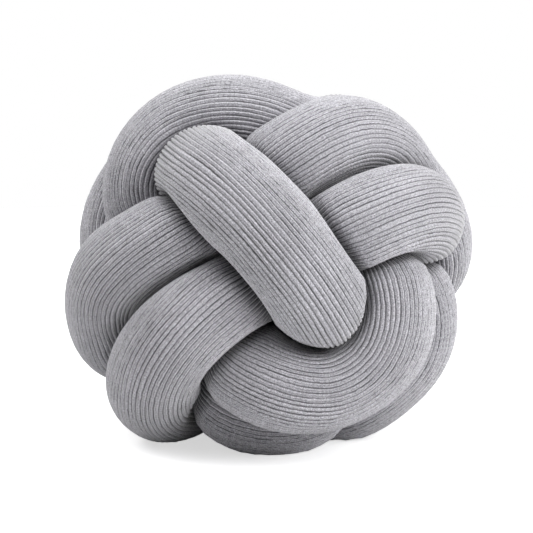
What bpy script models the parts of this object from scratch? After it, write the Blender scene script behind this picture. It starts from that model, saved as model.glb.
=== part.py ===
"""Knot cushion: one long stuffed tube of ribbed knit, woven into a tight ball.

The tube runs over and under itself in three rings that cross at right angles: one
turn over the face, two turns behind it from side to side, and two turns round the rim.
Both of its ends are tucked into the middle. Metres, +Z up, the face towards -Y, the
origin on the surface that the cushion rests on, under the middle of its box.
"""

import math

import bmesh
import bpy
import numpy as np
from mathutils import Vector

# Driving sizes, in metres
TUBE_RADIUS = 0.0339  # of the stuffed tube where nothing presses on it
SWELL = 1.10  # how much fatter a squeezed stretch grows
CONTACT_GAP = 0.0008  # from a pressed side to the plane it is pressed against
CREASE = 7.0  # higher makes the edge of a pressed flat sharper
REACH_ALONG = 0.085  # nearer than this along the tube, it doesn't press on itself
FOLD_SHARE = 0.8  # of a bend's radius that the tube's inner side may fill
END_ROUND = 0.022  # length over which the two tucked ends round off
END_FLAT = 0.35  # share of the radius left at their very tips
SWELL_ROUNDS = 3
CURVE_STEP = 0.005  # between the centre line's own points
BEND_EVENING = 0.050  # length along the tube over which its bends are evened out

RIBS = 16  # raised ribs round the tube, each standing for four of the knit's
RIB_HEIGHT = 0.0016
SIDES = 2 * RIBS
STEPS = 184  # rings of points along the tube
BETWEEN = (-0.5, -0.25, 0.0, 0.25, 0.5)  # where room is looked for, in steps from a ring
BEND_CROWDING = 0.030  # metres of bend radius at which the rings stand twice as close

# How the knot lies
LEAN = math.radians(8)  # the face looks up a little
MIDDLE = Vector((-0.0021, -0.0013, 0.1319))  # the middle of the knot, above the surface

FABRIC_GREY = (0.42, 0.42, 0.46, 1.0)
FABRIC_ROUGHNESS = 0.9

# The tube's centre line, from one tucked end to the other, in millimetres from the
# knot's middle as seen from the front: right, up, and out of the face.
ROUTE_MM = {
    "tail tucked under the rim": [
        (-4, 32, 6), (-8, 5, 0), (-12, -22, -8), (4, -42, -22), (28, -60, -16), (35, -88, 6),
    ],
    "bottom, beside the rim": [
        (14, -104, 20), (-12, -102, 24), (-36, -86, 12), (-52, -58, -4), (-72, -30, -20),
    ],
    "back rim, left and top": [
        (-97, -6, -32), (-109, 20, -36), (-98, 50, -40), (-76, 76, -46), (-44, 96, -48),
        (-10, 98, -50), (16, 78, -46), (38, 60, -32),
    ],
    "back rim, right and bottom": [
        (56, 42, -14), (73, 12, 2), (97, -14, 6), (107, -37, 2), (101, -60, -3),
        (83, -82, -8), (57, -95, -18), (26, -95, -46),
    ],
    "strand over the back": [
        (2, -80, -80), (-10, -54, -108), (-14, -18, -116), (-26, 18, -112), (-40, 44, -88),
    ],
    "through the middle to the face": [
        (-45, 55, -54), (-44, 58, -10), (-44, 64, 40),
    ],
    "strand over the face": [
        (-41, 60, 80), (-26, 49, 107), (-5, 29, 116), (17, 4, 113), (34, -22, 98),
    ],
    "through the middle to the right": [
        (41, -30, 62), (44, -28, 22), (44, -22, -14), (54, -6, -42), (76, 12, -46),
    ],
    "lower strand, right to left": [
        (94, 22, -24), (104, 30, 6), (106, 34, 34), (94, 37, 60), (70, 31, 84),
        (44, 19, 84), (16, 4, 66), (-15, -13, 74), (-43, -31, 92), (-68, -57, 76),
        (-80, -79, 46), (-80, -92, 10), (-70, -96, -28),
    ],
    "lower strand's return behind": [
        (-46, -80, -66), (-12, -46, -77), (24, -32, -86), (58, -26, -90), (88, -19, -79),
        (112, -4, -58), (119, 16, -40), (107, 43, -22),
    ],
    "upper strand, right to left": [
        (85, 68, 8), (68, 84, 38), (42, 84, 62), (14, 68, 74), (-20, 45, 64),
        (-54, 22, 79), (-84, 8, 68), (-104, -6, 44), (-114, -24, 14), (-110, -47, -18),
    ],
    "upper strand's return behind": [
        (-92, -56, -54), (-66, -38, -86), (-38, -2, -74), (-10, 34, -76), (20, 66, -84),
        (46, 90, -60), (50, 92, -28), (36, 86, 0),
    ],
    "front rim, top and left": [
        (12, 95, 14), (-21, 103, 16), (-53, 98, 10), (-75, 81, 6), (-87, 55, 6),
        (-78, 30, 8), (-58, 2, 14),
    ],
    "front rim, bottom and right": [
        (-42, -30, 24), (-28, -55, 54), (-10, -72, 72), (20, -84, 74), (48, -80, 66),
        (69, -65, 66), (82, -40, 70), (80, -14, 68), (62, 9, 49),
    ],
}


def stations():
    """The route's points in metres, where the knot lies, leaning back on the surface."""
    points = []
    for run in ROUTE_MM.values():
        for right, up, out in run:
            back = up * math.sin(LEAN) - out * math.cos(LEAN)
            height = up * math.cos(LEAN) + out * math.sin(LEAN)
            points.append(Vector((right, back, height)) / 1000 + MIDDLE)
    return np.array(points)


def smooth_curve(points, per_span=24):
    """Points along one smooth curve (a natural cubic spline) through the given ones."""
    count = len(points)
    spans = np.sqrt(np.linalg.norm(np.diff(points, axis=0), axis=1))
    matrix = np.eye(count)
    wanted = np.zeros((count, 3))
    for i in range(1, count - 1):
        matrix[i, i - 1 : i + 2] = spans[i - 1], 2 * (spans[i - 1] + spans[i]), spans[i]
        after = (points[i + 1] - points[i]) / spans[i]
        before = (points[i] - points[i - 1]) / spans[i - 1]
        wanted[i] = 6 * (after - before)
    bends = np.linalg.solve(matrix, wanted)
    share = (np.arange(per_span) / per_span)[:, None]
    curve = []
    for i, span in enumerate(spans):
        ahead, behind = share * span, (1 - share) * span
        cubic = (bends[i] * behind**3 + bends[i + 1] * ahead**3) / (6 * span)
        start = (points[i] / span - bends[i] * span / 6) * behind
        end = (points[i + 1] / span - bends[i + 1] * span / 6) * ahead
        curve.append(cubic + start + end)
    return np.vstack(curve + [points[-1:]])


def evened(curve):
    """The curve with its sharpest bends rounded, as firm filling leaves them."""
    half = round(BEND_EVENING / CURVE_STEP)
    blur = np.hanning(2 * half + 1)[1:-1]
    blur /= blur.sum()
    reach = len(blur) // 2
    before = 2 * curve[0] - curve[reach:0:-1]
    after = 2 * curve[-1] - curve[-2 : -reach - 2 : -1]
    padded = np.vstack([before, curve, after])
    return np.stack([np.convolve(padded[:, axis], blur, mode="valid") for axis in range(3)], axis=1)


def lengths_along(curve):
    return np.concatenate([[0], np.cumsum(np.linalg.norm(np.diff(curve, axis=0), axis=1))])


def resampled(curve, marks):
    """The curve's points at the given lengths along it."""
    along = lengths_along(curve)
    return np.stack([np.interp(marks, along, curve[:, axis]) for axis in range(3)], axis=1)


def bend_vectors(curve):
    """At each point, a vector towards the inside of the bend, 1 / radius long."""
    step = np.gradient(lengths_along(curve))[:, None]
    tangents = np.gradient(curve, axis=0) / step
    return np.gradient(tangents, axis=0) / step


def ring_marks(curve):
    """Lengths along the curve for the rings of points, closer together in the bends."""
    along = lengths_along(curve)
    crowding = 1 + BEND_CROWDING * np.linalg.norm(bend_vectors(curve), axis=1)
    weight = np.concatenate([[0], np.cumsum(np.diff(along) * crowding[1:])])
    return np.interp(np.linspace(0, weight[-1], STEPS), weight, along)


def spoke_directions(centres):
    """For each ring, the directions from its centre to its points, without twist."""
    angles = np.arange(SIDES) * 2 * math.pi / SIDES
    tangents = [Vector(t).normalized() for t in np.gradient(centres, axis=0)]
    side = tangents[0].orthogonal()
    rings = []
    for tangent in tangents:
        side = (side - tangent * side.dot(tangent)).normalized()
        other = tangent.cross(side)
        rings.append(np.outer(np.cos(angles), side) + np.outer(np.sin(angles), other))
    return np.array(rings)


def room_along_spokes(curve, marks, centres, directions):
    """How far each spoke can reach before it meets another strand or its own bend.

    Two strands share the space between their centre lines evenly, so they press flat
    against each other and never cross.
    """
    along = lengths_along(curve)
    bends = bend_vectors(curve)
    free = 10 * TUBE_RADIUS
    room = []
    for mark, centre, spokes in zip(marks, centres, directions):
        others = curve[np.abs(along - mark) > REACH_ALONG] - centre
        apart = np.linalg.norm(others, axis=1)
        near = apart < 3 * TUBE_RADIUS
        facing = np.maximum(spokes @ others[near].T, 1e-6)
        halfway = (apart[near] / 2 - CONTACT_GAP) * apart[near] / facing
        bend = bends[np.abs(along - mark).argmin()]
        inner = FOLD_SHARE / np.maximum(spokes @ bend, FOLD_SHARE / free)
        room.append(np.minimum(inner, halfway.min(axis=1, initial=free)))
    return np.array(room)


def least_room(curve, marks, directions):
    """The least room at each ring and halfway to its neighbours, for the flats between."""
    step = np.gradient(marks)
    nearby = []
    for share in BETWEEN:
        shifted = (marks + share * step).clip(0, marks[-1])
        centres = resampled(curve, shifted)
        nearby.append(room_along_spokes(curve, shifted, centres, directions))
    return np.min(nearby, axis=0)


def softly_limited(radius, room):
    """The smaller of the two, with a rounded change from one to the other."""
    return (radius**-CREASE + room**-CREASE) ** (-1 / CREASE)


def swollen_radius(room):
    """The tube's radius at each ring: fatter where it is squeezed, to hold its filling."""
    radius = np.full(len(room), TUBE_RADIUS)
    for _ in range(SWELL_ROUNDS):
        shape = softly_limited(radius[:, None], room)
        squeezed = TUBE_RADIUS / np.sqrt((shape**2).mean(axis=1))
        radius = TUBE_RADIUS * np.clip(squeezed, 1, SWELL)
        padded = np.pad(radius, 1, mode="edge")
        radius = (padded[:-2] + padded[1:-1] + padded[2:]) / 3
    return radius


def tube_rings():
    """The rings of points from one tucked end of the tube to the other."""
    curve = smooth_curve(stations())
    length = lengths_along(curve)[-1]
    curve = resampled(curve, np.linspace(0, length, round(length / CURVE_STEP)))
    cut_short = curve - evened(curve)
    curve = evened(curve + cut_short)
    marks = ring_marks(curve)
    centres = resampled(curve, marks)
    directions = spoke_directions(centres)
    room = least_room(curve, marks, directions)

    rib = RIB_HEIGHT / 2 * (-1) ** np.arange(SIDES)
    radius = softly_limited(swollen_radius(room)[:, None] + rib, room)
    from_end = np.minimum(marks, marks[-1] - marks) / END_ROUND
    rounding = np.sqrt(1 - (1 - from_end.clip(0, 1)) ** 2)
    radius *= (END_FLAT + (1 - END_FLAT) * rounding)[:, None]
    to_surface = centres[:, 2, None] / np.maximum(-directions[..., 2], 1e-6)
    radius = np.minimum(radius, to_surface)

    rings = centres[:, None] + directions * radius[..., None]
    rings[..., 2] = rings[..., 2].clip(0)
    return rings


def tube_mesh(rings):
    """A closed mesh: the first ring, extruded from ring to ring, and closed at its ends."""
    mesh = bmesh.new()
    ring = [mesh.verts.new(point) for point in rings[0]]
    edges = [mesh.edges.new(pair) for pair in zip(ring, ring[1:] + ring[:1])]
    for points in rings[1:]:
        grown = bmesh.ops.extrude_edge_only(mesh, edges=edges)["geom"]
        edges = [item for item in grown if isinstance(item, bmesh.types.BMEdge)]
        fresh = {item for item in grown if isinstance(item, bmesh.types.BMVert)}
        following = []
        for vert, point in zip(ring, points):
            copies = (edge.other_vert(vert) for edge in vert.link_edges)
            copy = next(other for other in copies if other in fresh)
            copy.co = point
            following.append(copy)
        ring = following
    bmesh.ops.holes_fill(mesh, edges=mesh.edges, sides=SIDES)
    bmesh.ops.recalc_face_normals(mesh, faces=mesh.faces)
    data = bpy.data.meshes.new("knot_tube")
    mesh.to_mesh(data)
    mesh.free()
    data.shade_smooth()
    return data


def fabric():
    material = bpy.data.materials.new("ribbed_knit")
    material.use_nodes = True
    shader = material.node_tree.nodes["Principled BSDF"]
    shader.inputs["Base Color"].default_value = FABRIC_GREY
    shader.inputs["Roughness"].default_value = FABRIC_ROUGHNESS
    shader.inputs["Metallic"].default_value = 0
    return material


for leftover in list(bpy.data.objects):
    bpy.data.objects.remove(leftover)
knot = bpy.data.objects.new("knot_tube", tube_mesh(tube_rings()))
knot.data.materials.append(fabric())
bpy.context.scene.collection.objects.link(knot)
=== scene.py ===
"""The looks of a knot cushion: one stuffed tube of ribbed knit, woven into a ball."""

import math

import bmesh
import bpy
import numpy as np
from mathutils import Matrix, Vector, noise


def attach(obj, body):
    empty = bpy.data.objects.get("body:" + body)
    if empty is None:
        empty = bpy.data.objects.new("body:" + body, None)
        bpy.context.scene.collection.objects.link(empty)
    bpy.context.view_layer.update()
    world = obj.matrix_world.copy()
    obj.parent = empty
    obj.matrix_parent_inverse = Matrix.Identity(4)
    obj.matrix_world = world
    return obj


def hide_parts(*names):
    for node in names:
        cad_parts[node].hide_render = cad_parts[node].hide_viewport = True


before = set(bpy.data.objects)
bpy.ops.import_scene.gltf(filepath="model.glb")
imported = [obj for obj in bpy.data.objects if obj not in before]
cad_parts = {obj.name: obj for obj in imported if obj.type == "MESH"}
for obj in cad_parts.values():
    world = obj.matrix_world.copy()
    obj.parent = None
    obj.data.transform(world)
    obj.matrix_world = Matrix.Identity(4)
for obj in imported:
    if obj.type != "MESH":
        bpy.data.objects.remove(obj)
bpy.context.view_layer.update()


# The camera
#
# A long lens stands well back and a little above the cushion's middle, so that the
# face is seen as in the photograph, which is 533 pixels wide and high.
LEAN = math.radians(8)  # the face looks up a little, straight at the camera
MIDDLE = Vector((-0.0021, -0.0013, 0.1319))  # of the knot, above the surface
PHOTO_SIDE_PX = 533
MIDDLE_PX = (268, 265)  # where the knot's middle shows, from the top left
PIXEL = 0.000744  # metres across one pixel at the knot's middle
CAMERA_DISTANCE = 1.5

towards_camera = Vector((0, -math.cos(LEAN), math.sin(LEAN)))
image_up = Vector((0, math.sin(LEAN), math.cos(LEAN)))
aside = (PHOTO_SIDE_PX / 2 - MIDDLE_PX[0]) * PIXEL
above = (MIDDLE_PX[1] - PHOTO_SIDE_PX / 2) * PIXEL
lens = bpy.data.cameras.new("camera")
lens.lens = lens.sensor_width * CAMERA_DISTANCE / (PHOTO_SIDE_PX * PIXEL)
camera = bpy.data.objects.new("camera", lens)
camera.location = MIDDLE + Vector((aside, 0, 0)) + image_up * above
camera.location += towards_camera * CAMERA_DISTANCE
camera.rotation_euler = (math.pi / 2 - LEAN, 0, 0)
bpy.context.scene.collection.objects.link(camera)
bpy.context.scene.camera = camera


# The knitted tube
#
# The whole cushion is one long sleeve of ribbed knit, filled with soft fibre until it is
# round and firm, then woven over and under itself by hand. The ribs run along it. Where
# two strands press on each other they flatten, and both ends are tucked into the middle.
TUBE_RADIUS = 0.0339  # where nothing presses on the tube
SWELL = 1.10  # how much fatter a squeezed stretch grows
SWELL_ROUNDS = 3  # times that the swelling is worked out anew
SWELL_EVENING = 9  # rings over which the swelling is evened out
CONTACT_GAP = 0.0005  # from a pressed side to the plane it is pressed against
CREASE = 7.0  # higher makes the edge of a pressed flat sharper
REACH_ALONG = 0.085  # nearer than this along the tube, it doesn't press on itself
FOLD_SHARE = 0.8  # of a bend's radius that the tube's inner side may fill
END_ROUND = 0.022  # length over which the two tucked ends round off
END_FLAT = 0.35  # share of the radius left at their very tips
CURVE_STEP = 0.0025  # between the centre line's own points
BEND_EVENING = 0.050  # length along the tube over which its bends are evened out
STEPS = 515  # rings of points along the tube
BEND_CROWDING = 0.030  # metres of bend radius at which the rings stand twice as close
NEARBY = 3 * TUBE_RADIUS  # strands further off than this never touch
OPEN = 10 * TUBE_RADIUS  # room along a spoke that nothing limits
NO_LESS = 1e-6  # keeps a divisor above zero

RIBS = 64
RIB_SHAPE = {  # share of a rib's width from the groove beside it: height in metres
    0.00: -0.0011,
    0.32: 0.0002,
    0.68: 0.0002,
}
WAVER = 0.45  # how far the ribs stray sideways together, in ribs
WAVER_SIZE = 0.045  # length and width of one such sway
OWN_WAVER = 0.30  # how far each rib strays on its own, so that no two are as wide
OWN_WAVER_SIZE = 0.036  # length of one such sway
UNEVEN_RIBS = 0.7  # how much a rib's height changes along it, as a share
LUMPS = 0.0016  # how uneven the filling leaves the surface
LUMP_SIZE = 0.040
NOISE_STRIDE = 3.7  # between two ribs in the noise, so that neighbours have nothing in common
NOISE_START = 0.5  # keeps the ribs off the noise's whole numbers, where it fades

# The centre line, in millimetres from the knot's middle as seen from the front: right,
# up, and out of the face. These are the same points as in the solid's own source.
ROUTE_MM = {
    "tail tucked under the rim": [
        (-4, 32, 6), (-8, 5, 0), (-12, -22, -8), (4, -42, -22), (28, -60, -16), (35, -88, 6),
    ],
    "bottom, beside the rim": [
        (14, -104, 20), (-12, -102, 24), (-36, -86, 12), (-52, -58, -4), (-72, -30, -20),
    ],
    "back rim, left and top": [
        (-97, -6, -32), (-109, 20, -36), (-98, 50, -40), (-76, 76, -46), (-44, 96, -48),
        (-10, 98, -50), (16, 78, -46), (38, 60, -32),
    ],
    "back rim, right and bottom": [
        (56, 42, -14), (73, 12, 2), (97, -14, 6), (107, -37, 2), (101, -60, -3),
        (83, -82, -8), (57, -95, -18), (26, -95, -46),
    ],
    "strand over the back": [
        (2, -80, -80), (-10, -54, -108), (-14, -18, -116), (-26, 18, -112), (-40, 44, -88),
    ],
    "through the middle to the face": [
        (-45, 55, -54), (-44, 58, -10), (-44, 64, 40),
    ],
    "strand over the face": [
        (-41, 60, 80), (-26, 49, 107), (-5, 29, 116), (17, 4, 113), (34, -22, 98),
    ],
    "through the middle to the right": [
        (41, -30, 62), (44, -28, 22), (44, -22, -14), (54, -6, -42), (76, 12, -46),
    ],
    "lower strand, right to left": [
        (94, 22, -24), (104, 30, 6), (106, 34, 34), (94, 37, 60), (70, 31, 84),
        (44, 19, 84), (16, 4, 66), (-15, -13, 74), (-43, -31, 92), (-68, -57, 76),
        (-80, -79, 46), (-80, -92, 10), (-70, -96, -28),
    ],
    "lower strand's return behind": [
        (-46, -80, -66), (-12, -46, -77), (24, -32, -86), (58, -26, -90), (88, -19, -79),
        (112, -4, -58), (119, 16, -40), (107, 43, -22),
    ],
    "upper strand, right to left": [
        (85, 68, 8), (68, 84, 38), (42, 84, 62), (14, 68, 74), (-20, 45, 64),
        (-54, 22, 79), (-84, 8, 68), (-104, -6, 44), (-114, -24, 14), (-110, -47, -18),
    ],
    "upper strand's return behind": [
        (-92, -56, -54), (-66, -38, -86), (-38, -2, -74), (-10, 34, -76), (20, 66, -84),
        (46, 90, -60), (50, 92, -28), (36, 86, 0),
    ],
    "front rim, top and left": [
        (12, 95, 14), (-21, 103, 16), (-53, 98, 10), (-75, 81, 6), (-87, 55, 6),
        (-78, 30, 8), (-58, 2, 14),
    ],
    "front rim, bottom and right": [
        (-42, -30, 24), (-28, -55, 54), (-10, -72, 72), (20, -84, 74), (48, -80, 66),
        (69, -65, 66), (82, -40, 70), (80, -14, 68), (62, 9, 49),
    ],
}


def stations():
    """The route's points in metres, where the knot lies, leaning back on the surface."""
    points = []
    for run in ROUTE_MM.values():
        for right, up, out in run:
            back = up * math.sin(LEAN) - out * math.cos(LEAN)
            height = up * math.cos(LEAN) + out * math.sin(LEAN)
            points.append(Vector((right, back, height)) / 1000 + MIDDLE)
    return np.array(points)


def smooth_curve(points, per_span=24):
    """Points along one smooth curve (a natural cubic spline) through the given ones."""
    count = len(points)
    spans = np.sqrt(np.linalg.norm(np.diff(points, axis=0), axis=1))
    matrix = np.eye(count)
    wanted = np.zeros((count, 3))
    for i in range(1, count - 1):
        matrix[i, i - 1 : i + 2] = spans[i - 1], 2 * (spans[i - 1] + spans[i]), spans[i]
        after = (points[i + 1] - points[i]) / spans[i]
        before = (points[i] - points[i - 1]) / spans[i - 1]
        wanted[i] = 6 * (after - before)
    bends = np.linalg.solve(matrix, wanted)
    share = (np.arange(per_span) / per_span)[:, None]
    curve = []
    for i, span in enumerate(spans):
        ahead, behind = share * span, (1 - share) * span
        cubic = (bends[i] * behind**3 + bends[i + 1] * ahead**3) / (6 * span)
        start = (points[i] / span - bends[i] * span / 6) * behind
        end = (points[i + 1] / span - bends[i + 1] * span / 6) * ahead
        curve.append(cubic + start + end)
    return np.vstack(curve + [points[-1:]])


def evened(curve):
    """The curve with its sharpest bends rounded, as firm filling leaves them."""
    half = round(BEND_EVENING / CURVE_STEP)
    blur = np.hanning(2 * half + 1)[1:-1]
    blur /= blur.sum()
    reach = len(blur) // 2
    before = 2 * curve[0] - curve[reach:0:-1]
    after = 2 * curve[-1] - curve[-2 : -reach - 2 : -1]
    padded = np.vstack([before, curve, after])
    return np.stack([np.convolve(padded[:, axis], blur, mode="valid") for axis in range(3)], axis=1)


def lengths_along(curve):
    return np.concatenate([[0], np.cumsum(np.linalg.norm(np.diff(curve, axis=0), axis=1))])


def resampled(curve, marks):
    """The curve's points at the given lengths along it."""
    along = lengths_along(curve)
    return np.stack([np.interp(marks, along, curve[:, axis]) for axis in range(3)], axis=1)


def bend_vectors(curve):
    """At each point, a vector towards the inside of the bend, 1 / radius long."""
    step = np.gradient(lengths_along(curve))[:, None]
    tangents = np.gradient(curve, axis=0) / step
    return np.gradient(tangents, axis=0) / step


def ring_marks(curve):
    """Lengths along the curve for the rings of points, closer together in the bends."""
    along = lengths_along(curve)
    crowding = 1 + BEND_CROWDING * np.linalg.norm(bend_vectors(curve), axis=1)
    weight = np.concatenate([[0], np.cumsum(np.diff(along) * crowding[1:])])
    return np.interp(np.linspace(0, weight[-1], STEPS), weight, along)


def sway(marks, angles, size, seed):
    """Smooth unevenness over the tube's surface, about -0.5 to 0.5, a row for each ring."""
    reach = TUBE_RADIUS / size
    places = [(reach * math.cos(angle), reach * math.sin(angle)) for angle in angles]
    return np.array([
        [noise.noise((x, y, mark / size + seed)) for x, y in places] for mark in marks
    ])


def rib_by_rib(marks, size, seed):
    """Unevenness of each rib by itself, about -0.5 to 0.5, a row for each ring."""
    places = [NOISE_STRIDE * rib + NOISE_START for rib in range(RIBS)]
    return np.array([
        [noise.noise((x, mark / size, seed)) for x in places] for mark in marks
    ])


TWISTS = {  # run: (its point, from 0, where the twist starts, where it ends, degrees)
    "lower strand, right to left": (8, 12, -40),
    "upper strand, right to left": (4, 9, -55),
}


def twist(curve, marks):
    """How far the sleeve has turned about itself at each ring, in radians, seen in its ribs."""
    along = lengths_along(curve)
    places = [along[np.linalg.norm(curve - point, axis=1).argmin()] for point in stations()]
    turned = np.zeros(len(marks))
    first = 0
    for name, run in ROUTE_MM.items():
        if name in TWISTS:
            start, end, degrees = TWISTS[name]
            start, end = places[first + start], places[first + end]
            share = ((marks - start) / (end - start)).clip(0, 1)
            turned += math.radians(degrees) * share**2 * (3 - 2 * share)
        first += len(run)
    return turned


def rib_angles(marks):
    """Where each ring's points stand round the tube, three to a rib, the ribs wavering."""
    width = 2 * math.pi / RIBS
    straight = np.arange(RIBS) * width
    strayed = straight + WAVER * width * sway(marks, straight, WAVER_SIZE, seed=40)
    strayed += OWN_WAVER * width * rib_by_rib(marks, OWN_WAVER_SIZE, seed=5.3)
    following = np.roll(strayed, -1, axis=1)
    following[:, -1] += 2 * math.pi
    shares = np.array(list(RIB_SHAPE))
    angles = strayed[..., None] + (following - strayed)[..., None] * shares
    return angles.reshape(len(marks), -1)


def spoke_directions(centres, angles):
    """For each ring, the directions from its centre to its points, at the given angles."""
    tangents = [Vector(t).normalized() for t in np.gradient(centres, axis=0)]
    side = tangents[0].orthogonal()
    rings = []
    for tangent, turn in zip(tangents, angles):
        side = (side - tangent * side.dot(tangent)).normalized()
        other = tangent.cross(side)
        rings.append(np.outer(np.cos(turn), side) + np.outer(np.sin(turn), other))
    return np.array(rings)


def room_along_spokes(curve, marks, centres, directions):
    """How far each spoke can reach before it meets another strand or its own bend.

    Two strands share the space between their centre lines evenly, so they press flat
    against each other and never cross.
    """
    along = lengths_along(curve)
    bends = bend_vectors(curve)
    room = []
    for mark, centre, spokes in zip(marks, centres, directions):
        others = curve[np.abs(along - mark) > REACH_ALONG] - centre
        apart = np.linalg.norm(others, axis=1)
        near = apart < NEARBY
        facing = np.maximum(spokes @ others[near].T, NO_LESS)
        halfway = (apart[near] / 2 - CONTACT_GAP) * apart[near] / facing
        bend = bends[np.abs(along - mark).argmin()]
        inner = FOLD_SHARE / np.maximum(spokes @ bend, FOLD_SHARE / OPEN)
        room.append(np.minimum(inner, halfway.min(axis=1, initial=OPEN)))
    return np.array(room)


def softly_limited(radius, room):
    """The smaller of the two, with a rounded change from one to the other."""
    return (radius**-CREASE + room**-CREASE) ** (-1 / CREASE)


def swollen_radius(room):
    """The tube's radius at each ring: fatter where it is squeezed, to hold its filling."""
    radius = np.full(len(room), TUBE_RADIUS)
    blur = np.hanning(SWELL_EVENING + 2)[1:-1]
    blur /= blur.sum()
    for _ in range(SWELL_ROUNDS):
        shape = softly_limited(radius[:, None], room)
        squeezed = TUBE_RADIUS / np.sqrt((shape**2).mean(axis=1))
        radius = TUBE_RADIUS * np.clip(squeezed, 1, SWELL)
        padded = np.pad(radius, SWELL_EVENING // 2, mode="edge")
        radius = np.convolve(padded, blur, mode="valid")
    return radius


def tube_rings():
    """The rings of points from one tucked end of the tube to the other.

    With them come the length along the tube at each ring, and how far each point is pressed
    in, as a share of the radius.
    """
    curve = smooth_curve(stations())
    length = lengths_along(curve)[-1]
    curve = resampled(curve, np.linspace(0, length, round(length / CURVE_STEP)))
    cut_short = curve - evened(curve)
    curve = evened(curve + cut_short)
    marks = ring_marks(curve)
    centres = resampled(curve, marks)
    angles = rib_angles(marks) + twist(curve, marks)[:, None]
    directions = spoke_directions(centres, angles)
    room = room_along_spokes(curve, marks, centres, directions)

    round_the_tube = np.arange(RIBS) * 2 * math.pi / RIBS
    lumps = LUMPS * sway(marks, round_the_tube, LUMP_SIZE, seed=7)
    lumps = np.repeat(lumps, len(RIB_SHAPE), axis=1)
    rise = 1 + UNEVEN_RIBS * rib_by_rib(marks, LUMP_SIZE, seed=9.6)
    ribs = np.tile(list(RIB_SHAPE.values()), RIBS) * np.repeat(rise, len(RIB_SHAPE), axis=1)
    unpressed = swollen_radius(room)[:, None] + lumps
    radius = softly_limited(unpressed, room)
    pressed = 1 - radius / unpressed
    radius = radius + ribs
    from_end = np.minimum(marks, marks[-1] - marks) / END_ROUND
    rounding = np.sqrt(1 - (1 - from_end.clip(0, 1)) ** 2)
    radius *= (END_FLAT + (1 - END_FLAT) * rounding)[:, None]
    to_surface = centres[:, 2, None] / np.maximum(-directions[..., 2], NO_LESS)
    radius = np.minimum(radius, to_surface)

    rings = centres[:, None] + directions * radius[..., None]
    rings[..., 2] = rings[..., 2].clip(0)
    return rings, marks, pressed


STITCH = 0.0026  # length of one knitted loop along a rib
LOOP_SLANT = 0.9  # how steeply the loops slant, in loops for each rib's width
RIB_WANDER = 0.05  # how far the grooves' edges stray, in ribs

# Stretches of a rib, from 0 at its groove to 0.5 at its middle
WALL = (0.03, 0.23)
CROWN = (0.12, 0.5)
CREST = (0.36, 0.5)

# Shades of the yarn's grey, each from the low to the high end of what it follows. The crown,
# groove, crest split and pressed shades are painted light and shade.
YARN_GREY = (0.448, 0.440, 0.474, 1.0)
FIBRE_SHADES = (0.64, 1.36)
NAP_SHADES = (0.95, 1.05)
PATCH_SHADES = (0.95, 1.05)
STREAK_SHADES = (0.93, 1.07)
# Painted highlight: the knit is painted lighter beside each groove, where light catches the rib's
# shoulder, and a little darker at the rib's middle.
CROWN_PAINTED_LIGHT = (1.08, 0.94)  # from beside the groove to the rib's middle
LOOP_SHADES = (0.95, 1.05)
# Painted shade: the grooves are painted dark, as shade falls in them.
GROOVE_PAINTED_SHADE = (0.16, 0.50)
# Painted shade: a dark line painted along a crest where it splits in two, with no groove for it in
# the mesh or the relief.
CREST_SPLIT_PAINTED_SHADE = 0.34  # how much darker a crest is where it splits in two
SPLIT_NOISE = (0.38, 0.62)  # values of the noise from whole to split
# Painted shade: the knit is painted darker in the creases where strands press flat on each other.
PRESSED = (0.03, 0.14)  # shares of the radius pressed in, over which the knit darkens
PRESSED_PAINTED_SHADES = (1.0, 0.42)

# Relief, in shares of RELIEF_DEPTH
FIBRE_RELIEF = 0.5
LOOP_RELIEF = 0.12
NAP_RELIEF = 0.4
STREAK_RELIEF = 0.5
WALL_RELIEF = 0.5
CROWN_RELIEF = 0.5
RELIEF_DEPTH = 0.0007  # metres


def tube_mesh(rings, marks, pressed):
    """A closed mesh: the first ring, extruded from ring to ring, and closed at its ends."""
    mesh = bmesh.new()
    rib_of = mesh.verts.layers.float.new("rib")
    stitch_of = mesh.verts.layers.float.new("stitch")
    pressed_of = mesh.verts.layers.float.new("pressed")
    shares = np.array(list(RIB_SHAPE))
    rib_numbers = (np.arange(RIBS)[:, None] + shares).ravel()
    ring = [mesh.verts.new(point) for point in rings[0]]
    for vert, number in zip(ring, rib_numbers):
        vert[rib_of] = number
    edges = [mesh.edges.new(pair) for pair in zip(ring, ring[1:] + ring[:1])]
    for points, mark, shares_pressed in zip(rings[1:], marks[1:], pressed[1:]):
        grown = bmesh.ops.extrude_edge_only(mesh, edges=edges)["geom"]
        edges = [item for item in grown if isinstance(item, bmesh.types.BMEdge)]
        fresh = {item for item in grown if isinstance(item, bmesh.types.BMVert)}
        following = []
        for vert, point, number, share in zip(ring, points, rib_numbers, shares_pressed):
            copies = (edge.other_vert(vert) for edge in vert.link_edges)
            copy = next(other for other in copies if other in fresh)
            copy.co = point
            copy[rib_of] = number
            copy[stitch_of] = mark / STITCH
            copy[pressed_of] = share
            following.append(copy)
        ring = following
    bmesh.ops.holes_fill(mesh, edges=mesh.edges, sides=len(ring))
    bmesh.ops.recalc_face_normals(mesh, faces=mesh.faces)
    knit = mesh.loops.layers.uv.new("knit")
    for face in mesh.faces:
        numbers = [vert[rib_of] for vert in face.verts]
        crosses_seam = max(numbers) > min(numbers) + RIBS / 2
        for loop in face.loops:
            number = loop.vert[rib_of]
            if crosses_seam and number < RIBS / 2:
                number += RIBS
            loop[knit].uv = (number, loop.vert[stitch_of])
    data = bpy.data.meshes.new("knitted_tube")
    mesh.to_mesh(data)
    mesh.free()
    data.shade_smooth()
    return data


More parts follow.
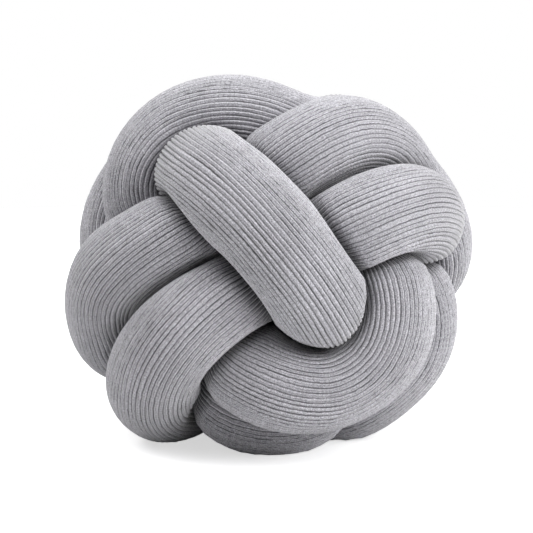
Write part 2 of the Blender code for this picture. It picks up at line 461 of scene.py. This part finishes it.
def ribbed_knit():
    """Soft matte knit with fine loops and a fuzzy nap; painted shade darkens its narrow grooves,
    split crests and pressed creases, and a painted highlight lies beside each groove.
    """
    material = bpy.data.materials.new("ribbed_knit")
    material.use_nodes = True
    tree = material.node_tree
    shader = tree.nodes["Principled BSDF"]

    def math_node(operation, *values):
        made = tree.nodes.new("ShaderNodeMath")
        made.operation = operation
        for socket, value in zip(made.inputs, values):
            if isinstance(value, bpy.types.NodeSocket):
                tree.links.new(value, socket)
            else:
                socket.default_value = value
        return made.outputs["Value"]

    def between(value, low, high, to_low, to_high):
        made = tree.nodes.new("ShaderNodeMapRange")
        made.interpolation_type = "SMOOTHSTEP"
        tree.links.new(value, made.inputs["Value"])
        made.inputs["From Min"].default_value = low
        made.inputs["From Max"].default_value = high
        made.inputs["To Min"].default_value = to_low
        made.inputs["To Max"].default_value = to_high
        return made.outputs["Result"]

    def grain(vector, scale=1.0, detail=1):
        """Noise from 0 to 1; the scale is in cells for each unit of the vector."""
        made = tree.nodes.new("ShaderNodeTexNoise")
        tree.links.new(vector, made.inputs["Vector"])
        made.inputs["Scale"].default_value = scale
        made.inputs["Detail"].default_value = detail
        return made.outputs["Fac"]

    place = tree.nodes.new("ShaderNodeTexCoord").outputs["Object"]
    knit = tree.nodes.new("ShaderNodeUVMap")
    knit.uv_map = "knit"
    apart = tree.nodes.new("ShaderNodeSeparateXYZ")
    tree.links.new(knit.outputs["UV"], apart.inputs["Vector"])
    rib, stitch = apart.outputs["X"], apart.outputs["Y"]

    def along_ribs(across, along):
        """The knit's own coordinates, with cells for each rib and for each loop along it."""
        made = tree.nodes.new("ShaderNodeVectorMath")
        made.operation = "MULTIPLY"
        tree.links.new(knit.outputs["UV"], made.inputs[0])
        made.inputs[1].default_value = (across, along, 0.0)
        return made.outputs["Vector"]

    most_noise = (0.3, 0.7)  # nearly all of a noise lies between these
    wander = between(grain(place, 160), *most_noise, -RIB_WANDER, RIB_WANDER)
    from_groove = math_node("PINGPONG", math_node("ADD", rib, wander), 0.5)
    wall = between(from_groove, *WALL, 0.0, 1.0)
    crown = between(from_groove, *CROWN, 0.0, 1.0)
    crest = between(from_groove, *CREST, 0.0, 1.0)
    slanted = math_node("MULTIPLY_ADD", from_groove, LOOP_SLANT, stitch)
    loops = math_node("SINE", math_node("MULTIPLY", slanted, 2 * math.pi))
    fibres = grain(place, 1500)
    nap = grain(place, 600, 2)
    patches = grain(place, 22, 2)
    streaks = grain(along_ribs(5.0, 0.22))
    pressed = tree.nodes.new("ShaderNodeAttribute")
    pressed.attribute_name = "pressed"

    # Painted shade: the grooves are painted dark, and a dark line is painted along a crest where it
    # splits.
    groove_painted_shade = between(grain(along_ribs(1.3, 0.09)), *most_noise, *GROOVE_PAINTED_SHADE)
    in_groove = math_node("SUBTRACT", 1.0, wall)
    groove_painted_darkening = math_node("MULTIPLY", in_groove, math_node("SUBTRACT", 1.0, groove_painted_shade))
    split_painted_shade = between(grain(along_ribs(0.21, 0.03)), *SPLIT_NOISE, 0.0, CREST_SPLIT_PAINTED_SHADE)
    split_painted_darkening = math_node("MULTIPLY", split_painted_shade, crest)
    shades = [
        between(nap, *most_noise, *NAP_SHADES),
        between(patches, *most_noise, *PATCH_SHADES),
        between(streaks, *most_noise, *STREAK_SHADES),
        # painted highlight beside each groove, a little painted shade at the rib's middle
        between(crown, 0.0, 1.0, *CROWN_PAINTED_LIGHT),
        between(loops, -1.0, 1.0, *LOOP_SHADES),
        math_node("SUBTRACT", 1.0, split_painted_darkening),
        # painted shade in the creases where strands press on each other
        between(pressed.outputs["Fac"], *PRESSED, *PRESSED_PAINTED_SHADES),
        # painted shade in the grooves
        math_node("SUBTRACT", 1.0, groove_painted_darkening),
    ]
    shade = between(fibres, *most_noise, *FIBRE_SHADES)
    for part in shades:
        shade = math_node("MULTIPLY", shade, part)
    tint = tree.nodes.new("ShaderNodeMix")
    tint.data_type = "RGBA"
    tint.blend_type = "MULTIPLY"
    tint.inputs["Factor"].default_value = 1.0
    tint.inputs["A"].default_value = YARN_GREY
    tree.links.new(shade, tint.inputs["B"])
    tree.links.new(tint.outputs["Result"], shader.inputs["Base Color"])

    height = math_node("MULTIPLY", fibres, FIBRE_RELIEF)
    height = math_node("MULTIPLY_ADD", loops, LOOP_RELIEF, height)
    height = math_node("MULTIPLY_ADD", nap, NAP_RELIEF, height)
    height = math_node("MULTIPLY_ADD", streaks, STREAK_RELIEF, height)
    height = math_node("MULTIPLY_ADD", wall, WALL_RELIEF, height)
    height = math_node("MULTIPLY_ADD", crown, CROWN_RELIEF, height)
    relief = tree.nodes.new("ShaderNodeBump")
    relief.inputs["Strength"].default_value = 0.8
    relief.inputs["Distance"].default_value = RELIEF_DEPTH
    tree.links.new(height, relief.inputs["Height"])
    tree.links.new(relief.outputs["Normal"], shader.inputs["Normal"])

    shader.inputs["Roughness"].default_value = 0.92
    shader.inputs["Specular IOR Level"].default_value = 0.2
    shader.inputs["Sheen Weight"].default_value = 0.9
    shader.inputs["Sheen Roughness"].default_value = 0.4
    return material


tube = bpy.data.objects.new("knitted_tube", tube_mesh(*tube_rings()))
tube.data.materials.append(ribbed_knit())
bpy.context.scene.collection.objects.link(tube)
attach(tube, "root")
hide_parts("knot_tube")


# The floor
#
# A round sheet of white paper lies under the cushion. It glows for the camera alone, so
# that it looks as white as the sky, apart from the cushion's soft shadow.
FLOOR_RADIUS = 1.6
PAPER_WHITE = 0.8
GLOW = 0.62  # how bright the paper looks where no lamp reaches it

sheet = bmesh.new()
bmesh.ops.create_circle(sheet, cap_ends=True, segments=96, radius=FLOOR_RADIUS)
data = bpy.data.meshes.new("floor")
sheet.to_mesh(data)
sheet.free()
floor = bpy.data.objects.new("floor", data)
paper = bpy.data.materials.new("white_paper")
paper.use_nodes = True
shader = paper.node_tree.nodes["Principled BSDF"]
shader.inputs["Base Color"].default_value = (PAPER_WHITE, PAPER_WHITE, PAPER_WHITE, 1)
shader.inputs["Roughness"].default_value = 0.95
shader.inputs["Specular IOR Level"].default_value = 0.1
shader.inputs["Emission Color"].default_value = (1, 1, 1, 1)
seen = paper.node_tree.nodes.new("ShaderNodeLightPath").outputs["Is Camera Ray"]
glow = paper.node_tree.nodes.new("ShaderNodeMath")
glow.operation = "MULTIPLY"
glow.inputs[1].default_value = GLOW
paper.node_tree.links.new(seen, glow.inputs[0])
paper.node_tree.links.new(glow.outputs["Value"], shader.inputs["Emission Strength"])
floor.data.materials.append(paper)
bpy.context.scene.collection.objects.link(floor)


# Light
#
# Wide soft lamps stand round the cushion: the main one high on the right in front, one
# high on the left, one overhead, and weaker ones on the right and behind.
LAMP_DISTANCE = 2.4
LAMP_WIDTH = 1.4
LAMPS = {  # name: (degrees to the right of the front, degrees up, watts)
    "key": (45, 35, 48),
    "right": (90, 15, 18),
    "left": (-90, 50, 38),
    "overhead": (0, 90, 25),
    "behind": (160, 45, 16),
}
SKY = 0.06  # how much light comes from all round

for name, (turn, rise, watts) in LAMPS.items():
    turn, rise = math.radians(turn), math.radians(rise)
    level = math.cos(rise)
    outward = Vector((math.sin(turn) * level, -math.cos(turn) * level, math.sin(rise)))
    lamp = bpy.data.lights.new(name, "AREA")
    lamp.size = LAMP_WIDTH
    lamp.energy = watts
    holder = bpy.data.objects.new(name, lamp)
    holder.location = MIDDLE + outward * LAMP_DISTANCE
    holder.rotation_euler = (-outward).to_track_quat("-Z", "Y").to_euler()
    bpy.context.scene.collection.objects.link(holder)

world = bpy.data.worlds.new("sky")
world.use_nodes = True
sky = world.node_tree
seen = sky.nodes.new("ShaderNodeLightPath").outputs["Is Camera Ray"]
brightness = sky.nodes.new("ShaderNodeMapRange")
sky.links.new(seen, brightness.inputs["Value"])
brightness.inputs["To Min"].default_value = SKY
brightness.inputs["To Max"].default_value = 1.0
sky.links.new(brightness.outputs["Result"], sky.nodes["Background"].inputs["Strength"])
sky.nodes["Background"].inputs["Color"].default_value = (1, 1, 1, 1)
bpy.context.scene.world = world
bpy.context.scene.view_settings.view_transform = "Standard"
